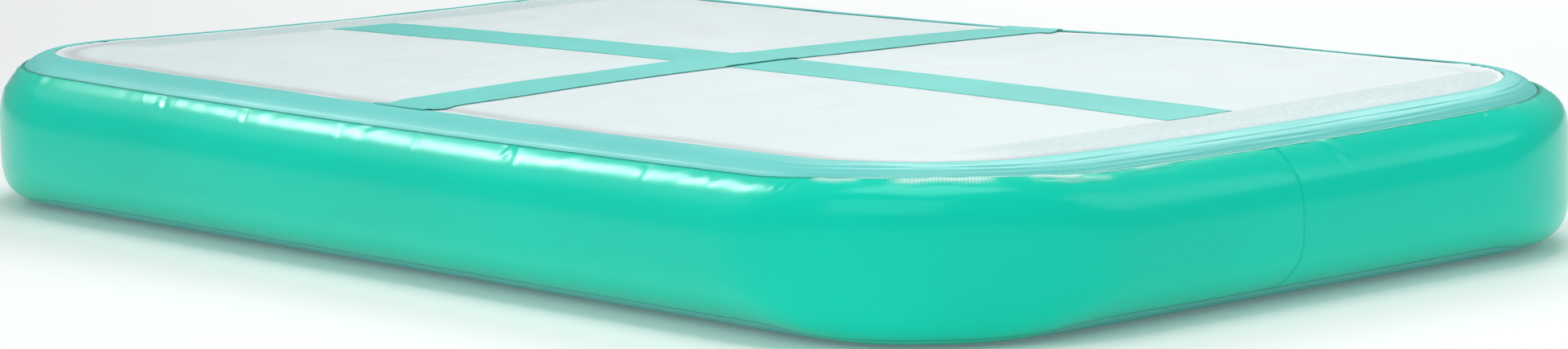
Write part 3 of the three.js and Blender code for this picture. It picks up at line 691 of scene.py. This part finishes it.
def make_top_band():
    """The tape from seam to border, with pressed lines. Its first row is the turned-down lip."""
    shares = np.concatenate([[-0.05], np.linspace(0, 1, 34)])
    share = shares[None, :]
    flat = SEAM[:, None, :] + (BORDER - SEAM)[:, None, :] * np.maximum(share, -0.015)[:, :, None]
    drop = (EDGE_HEIGHT - SEAM_HEIGHT + TAPE)[:, None]
    power = SHOULDER_POWER - 1.0 * near((230, 300), 260)[:, None]
    rise = np.clip(1 - np.maximum(share, 0), 0, 1) ** power
    height = EDGE_HEIGHT + TAPE - drop * rise
    height = height - np.where(share < 0, TAPE_LIP, 0)
    sharp_side = np.maximum(near((500, 0), 420), near((-500, 0), 420))
    strength = 0.12 + 0.9 * np.maximum(sharp_side, near((440, -240), 330))
    for place, depth, width, seed in BAND_LINES:
        centre = (place + 0.035 * ring_waves(ALONG, 300, seed, 4))[:, None]
        present = strength * np.clip(0.7 + 0.5 * ring_waves(ALONG, 130, seed + 9, 5), 0.1, 1.3)
        groove = np.exp(-(((share - centre) / width) ** 2))
        ridge = np.exp(-(((share - centre - 2 * width) / width) ** 2))
        height = height - depth * present[:, None] * (groove - 0.6 * ridge)
    height = height - WELD_DEPTH * np.exp(-(((share - WELD_SHARE) / WELD_WIDTH) ** 2))
    height = height + 0.12 * waves(ALONG[:, None], share * 24, 120, 60, 35)
    grid = np.concatenate([flat, height[:, :, None]], 2)
    faces = grid_faces(STATIONS, len(shares), True)
    made = mesh_object("top_edge_tape", warped(grid).reshape(-1, 3), faces, BAND_TAPE)
    width = np.linalg.norm(SEAM - BORDER, axis=1)[:, None]
    store(made, "from_seam", width * share)
    thicken(made, TAPE)
    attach(made, "mat")
    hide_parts("top_edge_band")
    declare_band()


def declare_band():
    """Works out the area of the ring of tape between seam and border, and does nothing with it."""
    ring_area = outline_area(HALF_X - SEAM_INSET, HALF_Y - SEAM_INSET, SEAM_CORNER)
    ring_area -= outline_area(BORDER_HALF_X, BORDER_HALF_Y, BORDER_CORNER)


def outline_area(half_x, half_y, radius):
    return 4 * half_x * half_y - (4 - math.pi) * radius**2


FAR_FROM_SEAM = 20.0
BOTTOM_TAPE_HEIGHT = 0.6  # at its inner edge


def make_bottom_band():
    shares = np.linspace(0, 1, 16)
    share = shares[None, :]
    flat = SEAM[:, None, :] + (BORDER - SEAM)[:, None, :] * share[:, :, None]
    rise = (1 - share) ** SHOULDER_POWER
    height = BOTTOM_TAPE_HEIGHT + (LOW_HEIGHT[:, None] - BOTTOM_TAPE_HEIGHT - 1) * rise
    height = height + 0.10 * rise * waves(ALONG[:, None], share * 24, 120, 60, 36)
    grid = np.concatenate([flat, height[:, :, None]], 2)
    faces = grid_faces(STATIONS, len(shares), True)
    made = mesh_object("bottom_edge_tape", warped(grid).reshape(-1, 3), faces, BAND_TAPE)
    store(made, "from_seam", np.full(grid.shape[:2], FAR_FROM_SEAM))
    thicken(made, TAPE, 1)
    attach(made, "mat")
    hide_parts("bottom_edge_band")
    declare_band()


# ---- Faces ----


def crown_height(x, y):
    share_x = np.clip(1 - (x / BORDER_HALF_X) ** 2, 0, None)
    share_y = np.clip(1 - (y / BORDER_HALF_Y) ** 2, 0, None)
    return CROWN * share_x * share_y


def inset_distance(x, y, half_x, half_y, radius):
    """How far inside a rounded rectangle a point is; negative outside."""
    beyond_x = np.abs(x) - (half_x - radius)
    beyond_y = np.abs(y) - (half_y - radius)
    outside = np.hypot(np.clip(beyond_x, 0, None), np.clip(beyond_y, 0, None))
    return radius - outside - np.minimum(np.maximum(beyond_x, beyond_y), 0)


def cut_grid(half_x, half_y, radius, spacing):
    """A grid inside a rounded rectangle, its rim moved onto the outline: x, y and faces."""
    count_x = int(math.ceil(half_x / spacing)) + 1
    count_y = int(math.ceil(half_y / spacing)) + 1
    xs = np.arange(-count_x, count_x + 1) * spacing
    ys = np.arange(-count_y, count_y + 1) * spacing
    grid_x, grid_y = np.meshgrid(xs, ys, indexing="ij")
    inside = inset_distance(grid_x, grid_y, half_x, half_y, radius) > 0
    corners_in = (
        inside[:-1, :-1].astype(int) + inside[1:, :-1] + inside[:-1, 1:] + inside[1:, 1:]
    )
    keep = corners_in >= 2
    x, y = grid_x.ravel(), grid_y.ravel()
    centre_x = np.clip(x, -(half_x - radius), half_x - radius)
    centre_y = np.clip(y, -(half_y - radius), half_y - radius)
    outside = ~inside.ravel()
    in_corner = (np.abs(x) > half_x - radius) & (np.abs(y) > half_y - radius)
    away_x, away_y = x - centre_x, y - centre_y
    length = np.maximum(np.hypot(away_x, away_y), 1e-9)
    round_x, round_y = centre_x + away_x / length * radius, centre_y + away_y / length * radius
    x = np.where(outside & in_corner, round_x, np.where(outside, np.clip(x, -half_x, half_x), x))
    y = np.where(outside & in_corner, round_y, np.where(outside, np.clip(y, -half_y, half_y), y))
    i, j = np.nonzero(keep)
    first = i * len(ys) + j
    faces = np.stack([first, first + len(ys), first + len(ys) + 1, first + 1], 1)
    used, renumbered = np.unique(faces, return_inverse=True)
    return x[used], y[used], renumbered.reshape(faces.shape).tolist()


DIMPLE_PITCH = 10.0
CLOTH_UNDER_TAPE = 6.0
CLOTH_OUTLINE = [
    size + CLOTH_UNDER_TAPE for size in (BORDER_HALF_X, BORDER_HALF_Y, BORDER_CORNER)
]
BASE_SPACING = 5.0
GROOVE_PLACE, GROOVE_WIDTH, GROOVE_DEPTH = 11.0, 6.0, 0.9  # just inside the border


def cloth_swell(x, y):
    return 0.15 * waves(x, y, 180, 150, 6)


def border_groove(x, y, inset):
    """How deep a point lies in the soft groove the glued rim leaves just inside the border."""
    centre = GROOVE_PLACE + 1.5 * waves(x, y, 160, 140, 8)
    return np.exp(-(((inset - centre) / GROOVE_WIDTH) ** 2))


def top_surface(x, y):
    """Height of the top cloth, with its dimpled face, its pressed rim and its turned-down edge.
    Also each point's distance inside the border, and how deep in a dimple it is, which sets how
    much shade is painted into the dimple."""
    inset = inset_distance(x, y, BORDER_HALF_X, BORDER_HALF_Y, BORDER_CORNER)
    height = EDGE_HEIGHT + crown_height(x, y) + cloth_swell(x, y) * smooth(inset / 20)
    under = np.clip(-inset / 26.0, 0, 1)
    height = height - 9.0 * (1 - (1 - under) ** SHOULDER_POWER) - 0.3 * smooth(-inset / 2)
    height = height - GROOVE_DEPTH * border_groove(x, y, inset)
    height = height + 0.25 * np.exp(-(((inset - 1.2) / 1.2) ** 2))
    in_field = smooth((inset - 9) / 9)
    across, along = (1 + np.cos(2 * math.pi * place / DIMPLE_PITCH) for place in (x, y))
    dimple = across * along
    strength = 0.28 + 0.08 * waves(x, y, 300, 220, 5)
    strength = strength + 0.75 * smooth((x - 300) / 120) * smooth((y - 60) / 140)
    height = height - in_field * strength * (dimple / 4 - 0.5)
    return height, inset, in_field * strength * dimple / 4


def make_top_cloth():
    x, y, faces = cut_grid(*CLOTH_OUTLINE, DIMPLE_PITCH / 3)
    height, inset, painted_dimple_shade = top_surface(x, y)
    points = warped(np.column_stack([x, y, height]))
    made = mesh_object("top_cloth", points, faces, TOP_CLOTH)
    # Where shade is painted at the ends of the drop-stitch field, fading out towards -Y.
    painted_selvedge_shade = smooth((np.abs(x) - STRIPE_END + 2) / 4) * smooth((y + 205) / 60)
    # The groove's painted shade is stronger towards the -Y side.
    near_side = smooth((-y - 60) / 120)
    pressed = border_groove(x, y, inset) ** 1.6 * (0.12 + 0.68 * near_side)
    store(made, "inset", inset)
    store(made, "painted_selvedge_shade", 0.85 * painted_selvedge_shade * smooth((inset - 1) / 3))
    store(made, "pressed", pressed)
    store(made, "painted_dimple_shade", 0.55 * painted_dimple_shade)
    thicken(made, CLOTH)
    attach(made, "mat")
    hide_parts("top_face_cloth")


def make_base_cloth():
    x, y, faces = cut_grid(*CLOTH_OUTLINE, BASE_SPACING)
    inset = inset_distance(x, y, BORDER_HALF_X, BORDER_HALF_Y, BORDER_CORNER)
    height = 1.6 * smooth((13 - inset) / 13) + 1.2 * smooth(-inset / 10)
    made = mesh_object("base_cloth", np.column_stack([x, y, height]), faces, BASE_CLOTH)
    thicken(made, CLOTH, 1)
    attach(made, "mat")
    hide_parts("bottom_face_cloth")


# ---- Guide stripes ----

LONG_LIFT, CROSS_LIFT = 0.5, 0.55  # of their tops above the cloth
CLIMB = 0.55  # of the cross stripe over the long one
TAPE_CLIMB = 0.85  # of the cross stripe onto the edge tape
PAST_BORDER = 2.5
STRIPE_STEP = 3.0


def long_lift(x, y):
    return np.full_like(x, LONG_LIFT)


def cross_lift(x, y):
    """How far the cross stripe lies above the cloth: it climbs over the long one and the tape."""
    from_crossing = (np.abs(y) - STRIPE_WIDTH / 2 - 0.5) / 4.0
    at_band = smooth((np.abs(y) - BORDER_HALF_Y + 4) / 3.5)
    past_border = np.clip(np.abs(y) - BORDER_HALF_Y, 0, None)
    groove = 0.85 * border_groove(x, y, BORDER_HALF_Y - np.abs(y)) * (1 - at_band)
    over_band = TAPE_CLIMB * at_band - 0.08 * past_border**2
    return CROSS_LIFT + CLIMB * (1 - smooth(from_crossing)) + over_band - groove


def stripe(name, half_length, runs_along_y, lift_at, replaced):
    """A tape laid on the cloth. It runs along X or along Y."""
    pieces = int(round(2 * half_length / STRIPE_STEP))
    lengthways = np.linspace(-half_length + 1, half_length - 1, pieces - 1)
    lengthways = np.concatenate([[-half_length], lengthways, [half_length]])
    half = STRIPE_WIDTH / 2
    across = np.linspace(-half + 2, half - 2, 14)
    across = np.concatenate([[-half, -half + 0.9], across, [half - 0.9, half]])
    a, b = np.meshgrid(lengthways, across, indexing="ij")
    wander = 0.35 * waves(a, b * 0, 160, 1, 41 if runs_along_y else 42)
    x, y = (b + wander, a) if runs_along_y else (a, b + wander)
    height = EDGE_HEIGHT + crown_height(x, y) + cloth_swell(x, y) + lift_at(x, y)
    height = height + 0.05 * waves(x, y, 30, 24, 44)
    rounded = np.minimum(half - np.abs(b), half_length - np.abs(a))
    height = height - 0.18 * (1 - smooth(rounded / 1.0))
    points = warped(np.stack([x, y, height], 2))
    faces = grid_faces(len(lengthways), len(across), False)
    made = mesh_object(name, points.reshape(-1, 3), faces, STRIPE_TAPE)
    store(made, "from_edge", rounded)
    thicken(made, STRIPE_TAPE_THICKNESS)
    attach(made, "mat")
    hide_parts(replaced)


def make_stripes():
    stripe("long_tape", STRIPE_END, False, long_lift, "long_stripe")
    stripe("cross_tape", BORDER_HALF_Y + PAST_BORDER, True, cross_lift, "cross_stripe")


# ---- The valve's spring, as a coil of wire ----

SPRING_TURNS = 4
SPRING_CLOSING = 0.8  # how much flatter than the mean the end coils run
WIRE_RADIUS = 0.4
WIRE_SIDES = 12
STEPS_PER_TURN = 36


def make_valve_spring():
    """A coil along X with closed ends, standing on the housing's hub."""
    low, high = (np.array(corner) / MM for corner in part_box("valve_spring"))
    _, axis_y, axis_z = (low + high) / 2
    radius = (high[1] - low[1]) / 2 - WIRE_RADIUS
    foot, length = high[0] - WIRE_RADIUS, high[0] - low[0] - 2 * WIRE_RADIUS
    share = np.linspace(0, 1, SPRING_TURNS * STEPS_PER_TURN + 1)
    angle = 2 * math.pi * SPRING_TURNS * share
    risen = share - SPRING_CLOSING * np.sin(2 * math.pi * share) / (2 * math.pi)
    outward = np.stack([0 * angle, np.cos(angle), np.sin(angle)], 1)
    centre = np.array([foot, axis_y, axis_z]) + radius * outward
    centre[:, 0] -= length * risen
    tangent = np.gradient(centre, axis=0)
    tangent /= np.linalg.norm(tangent, axis=1, keepdims=True)
    sideways = np.cross(tangent, outward)
    turn = (2 * math.pi * np.arange(WIRE_SIDES) / WIRE_SIDES)[:, None, None]
    points = centre + WIRE_RADIUS * (np.cos(turn) * outward + np.sin(turn) * sideways)
    rows = len(share)
    first_ring = [side * rows for side in range(WIRE_SIDES)]
    last_ring = [start + rows - 1 for start in first_ring]
    faces = grid_faces(WIRE_SIDES, rows, True) + [first_ring[::-1], last_ring]
    made = mesh_object("coil_spring", points.reshape(-1, 3), faces, SPRING)
    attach(made, "mat")
    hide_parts("valve_spring")
    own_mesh(made)


# ---- The CAD pieces that stay ----

KEPT = {
    "inner_side_wall": LINER_FILM,
    "valve_patch": PATCH_FILM,
    "valve_gasket": RUBBER,
    "valve_housing": VALVE_PLASTIC,
    "valve_base_nut": INNER_PLASTIC,
    "valve_seal": RUBBER,
    "seal_carrier": INNER_PLASTIC,
    "valve_stem": INNER_PLASTIC,
    "cap_tether_ring": VALVE_PLASTIC,
    "valve_cap": VALVE_PLASTIC,
    "cap_seal": RUBBER,
}
EASED = ["valve_housing", "valve_cap", "cap_tether_ring", "valve_base_nut", "valve_stem"]
EASED_EDGE, SHARPEST_LEFT = 0.25, 35  # in millimetres, in degrees


def finish_cad_pieces():
    for name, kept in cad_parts.items():
        material = YARN if name.startswith("drop_yarn_row") else KEPT.get(name)
        if material is not None:
            kept.data.materials.clear()
            kept.data.materials.append(material)
    for name in EASED:
        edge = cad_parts[name].modifiers.new("eased_edges", "BEVEL")
        edge.width = EASED_EDGE * MM
        edge.segments = 2
        edge.limit_method = "ANGLE"
        edge.angle_limit = math.radians(SHARPEST_LEFT)


# ---- Studio ----

FLOOR_REACH = 60000.0
FLOOR_CORNERS = [(-1, -1), (1, -1), (1, 1), (-1, 1)]
SKY_COLOUR, SKY_STRENGTH = (0.95, 0.98, 1.0, 1), 0.30

# Name, place, what it points at, width, height, watts, spread in degrees; all in metres
LIGHTS = [
    ("overhead", (0.35, -0.2, 2.3), (0.35, -0.05, 0), 1.3, 1.3, 20, 180),
    ("left_box", (-2.4, -0.34, 2.10), (0.75, -0.3, 0.07), 0.32, 0.72, 0.62, 32),
    ("left_soft", (-2.3, -0.95, 1.6), (0, -0.2, 0.05), 1.2, 0.8, 2, 180),
    ("front_fill", (1.05, -1.8, 1.35), (0.35, -0.3, 0.05), 1.8, 1.5, 11.5, 180),
    ("right_box", (1.9, 1.6, 1.75), (0.4, 0, 0.05), 1.3, 1.3, 7, 180),
    ("background", (-1.7, 2.6, 2.4), (-1.3, 2.2, 0), 2.2, 2.2, 60, 180),
]


def make_floor():
    made, tree, bsdf = shader("floor")
    shade = noise(tree, object_place(tree), 0.8, 2.0)
    colours = mixed(tree, shade, (0.93, 0.94, 0.94, 1), (0.90, 0.91, 0.91, 1))
    tree.links.new(colours, bsdf.inputs["Base Color"])
    bsdf.inputs["Roughness"].default_value = 0.7
    bsdf.inputs["Specular IOR Level"].default_value = 0.2
    bsdf.inputs["Emission Color"].default_value = (1, 1, 1, 1)
    bsdf.inputs["Emission Strength"].default_value = 0.09
    corners = [(x * FLOOR_REACH, y * FLOOR_REACH, 0) for x, y in FLOOR_CORNERS]
    mesh_object("floor", corners, [(0, 1, 2, 3)], made, is_smooth=False)


def area_light(name, place, target, width, height, watts, spread):
    data = bpy.data.lights.new(name, "AREA")
    data.shape = "RECTANGLE"
    data.size, data.size_y = width, height
    data.energy = watts
    data.spread = math.radians(spread)
    lamp = bpy.data.objects.new(name, data)
    bpy.context.scene.collection.objects.link(lamp)
    lamp.location = place
    aim = Vector(target) - Vector(place)
    lamp.rotation_euler = aim.to_track_quat("-Z", "Y").to_euler()


def make_studio():
    world = bpy.data.worlds.new("studio")
    bpy.context.scene.world = world
    world.use_nodes = True
    background = world.node_tree.nodes["Background"]
    background.inputs["Color"].default_value = SKY_COLOUR
    background.inputs["Strength"].default_value = SKY_STRENGTH
    for light in LIGHTS:
        area_light(*light)
    bpy.context.scene.view_settings.view_transform = "Standard"


make_side_wall()
make_top_band()
make_bottom_band()
make_top_cloth()
make_base_cloth()
make_stripes()
make_valve_spring()
finish_cad_pieces()
make_floor()
make_studio()
